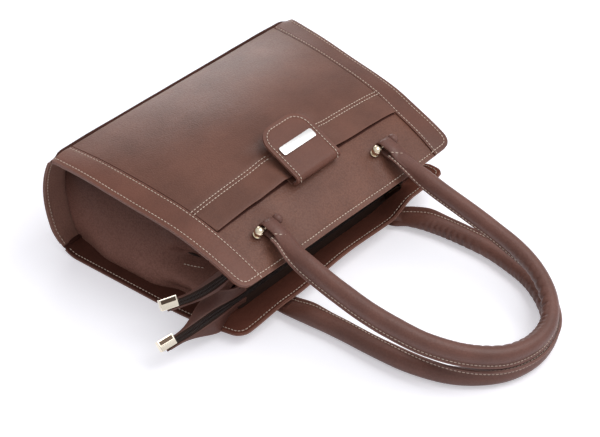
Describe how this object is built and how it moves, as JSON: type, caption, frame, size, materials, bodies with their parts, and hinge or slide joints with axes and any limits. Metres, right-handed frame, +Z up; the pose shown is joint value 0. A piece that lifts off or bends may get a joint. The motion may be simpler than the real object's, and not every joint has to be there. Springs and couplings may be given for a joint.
{
  "type": "tote bag",
  "caption": "Leather tote bag lying on its back, with rolled handles on ball-ended bars, zipped compartments either side of an open section, and a slip pocket with a folded snap tab.",
  "frame": {"origin": "reference point of the flat rest face under the back panel, on the bag's middle line, 85 mm from the base edge", "axes": "+X along the width to the end away from the zip tails, +Y to the base, -Y to the mouth and handles, +Z up out of the front panel"},
  "size_m": [0.4135, 0.5026, 0.141],
  "materials": {
    "leather": "pebbled brown calf with a soft sheen",
    "dark_leather": "pebbled dark brown calf",
    "lining_cloth": "plain dark woven cotton",
    "zip_tape": "dark woven tape with a coil chain",
    "base_board": "pressed fibre board",
    "gold_metal": "polished pale gold plating",
    "bronze_metal": "burnished dark bronze",
    "silver_metal": "satin silver plating, bare",
    "handle_core": "twisted cotton cord"
  },
  "bodies": {
    "bag": {"front_panel": "leather", "front_left_band": "leather", "front_right_band": "leather", "back_panel": "leather", "base_panel": "leather", "base_board": "base_board", "base_lining": "lining_cloth", "front_piping": "dark_leather", "back_piping": "dark_leather", "left_gusset": "dark_leather", "right_gusset": "dark_leather", "front_facing": "dark_leather", "back_facing": "dark_leather", "front_lining": "lining_cloth", "back_lining": "lining_cloth", "front_wall": "lining_cloth", "rear_wall": "lining_cloth", "front_zip_outer_tape": "zip_tape", "front_zip_inner_tape": "zip_tape", "front_zip_tail": "leather", "front_zip_cap": "gold_metal", "rear_zip_outer_tape": "zip_tape", "rear_zip_inner_tape": "zip_tape", "rear_zip_tail": "leather", "rear_zip_cap": "gold_metal", "front_left_bar": "gold_metal", "front_right_bar": "gold_metal", "rear_left_bar": "gold_metal", "rear_right_bar": "gold_metal", "front_pocket": "leather", "tab_strap": "leather", "pocket_snap": "gold_metal"},
    "front_handle": {"front_handle": "leather", "front_handle_core": "handle_core"},
    "rear_handle": {"rear_handle": "leather", "rear_handle_core": "handle_core"},
    "pocket_tab": {"pocket_tab": "leather", "tab_plate": "silver_metal", "tab_snap": "gold_metal"},
    "front_slider": {"front_zip_slider": "bronze_metal"},
    "front_pull": {"front_zip_pull": "bronze_metal"},
    "rear_slider": {"rear_zip_slider": "bronze_metal"},
    "rear_pull": {"rear_zip_pull": "bronze_metal"}
  },
  "joints": [
    {"name": "front_handle_swing", "type": "hinge", "parent": "bag", "child": "front_handle", "pos_m": [-0.0035, -0.13342, 0.09995], "axis": [-1, 0, 0], "range_deg": [0, 160]},
    {"name": "rear_handle_swing", "type": "hinge", "parent": "bag", "child": "rear_handle", "pos_m": [0, -0.13687, 0.00484], "axis": [1, 0, 0], "range_deg": [0, 165]},
    {"name": "pocket_tab_lift", "type": "hinge", "parent": "bag", "child": "pocket_tab", "pos_m": [-0.002, -0.1147, 0.11304], "axis": [1, 0, 0], "range_deg": [0, 140]},
    {"name": "front_zip_slide", "type": "slide", "parent": "bag", "child": "front_slider", "axis": [-1, 0, 0], "range_m": [0, 0.224]},
    {"name": "front_pull_swing", "type": "hinge", "parent": "front_slider", "child": "front_pull", "pos_m": [0.1159, -0.13255, 0.07066], "axis": [0, 0, 1], "range_deg": [0, 170]},
    {"name": "rear_zip_slide", "type": "slide", "parent": "bag", "child": "rear_slider", "axis": [-1, 0, 0], "range_m": [0, 0.224]},
    {"name": "rear_pull_swing", "type": "hinge", "parent": "rear_slider", "child": "rear_pull", "pos_m": [0.1159, -0.13255, 0.02715], "axis": [0, 0, 1], "range_deg": [0, 170]}
  ]
}
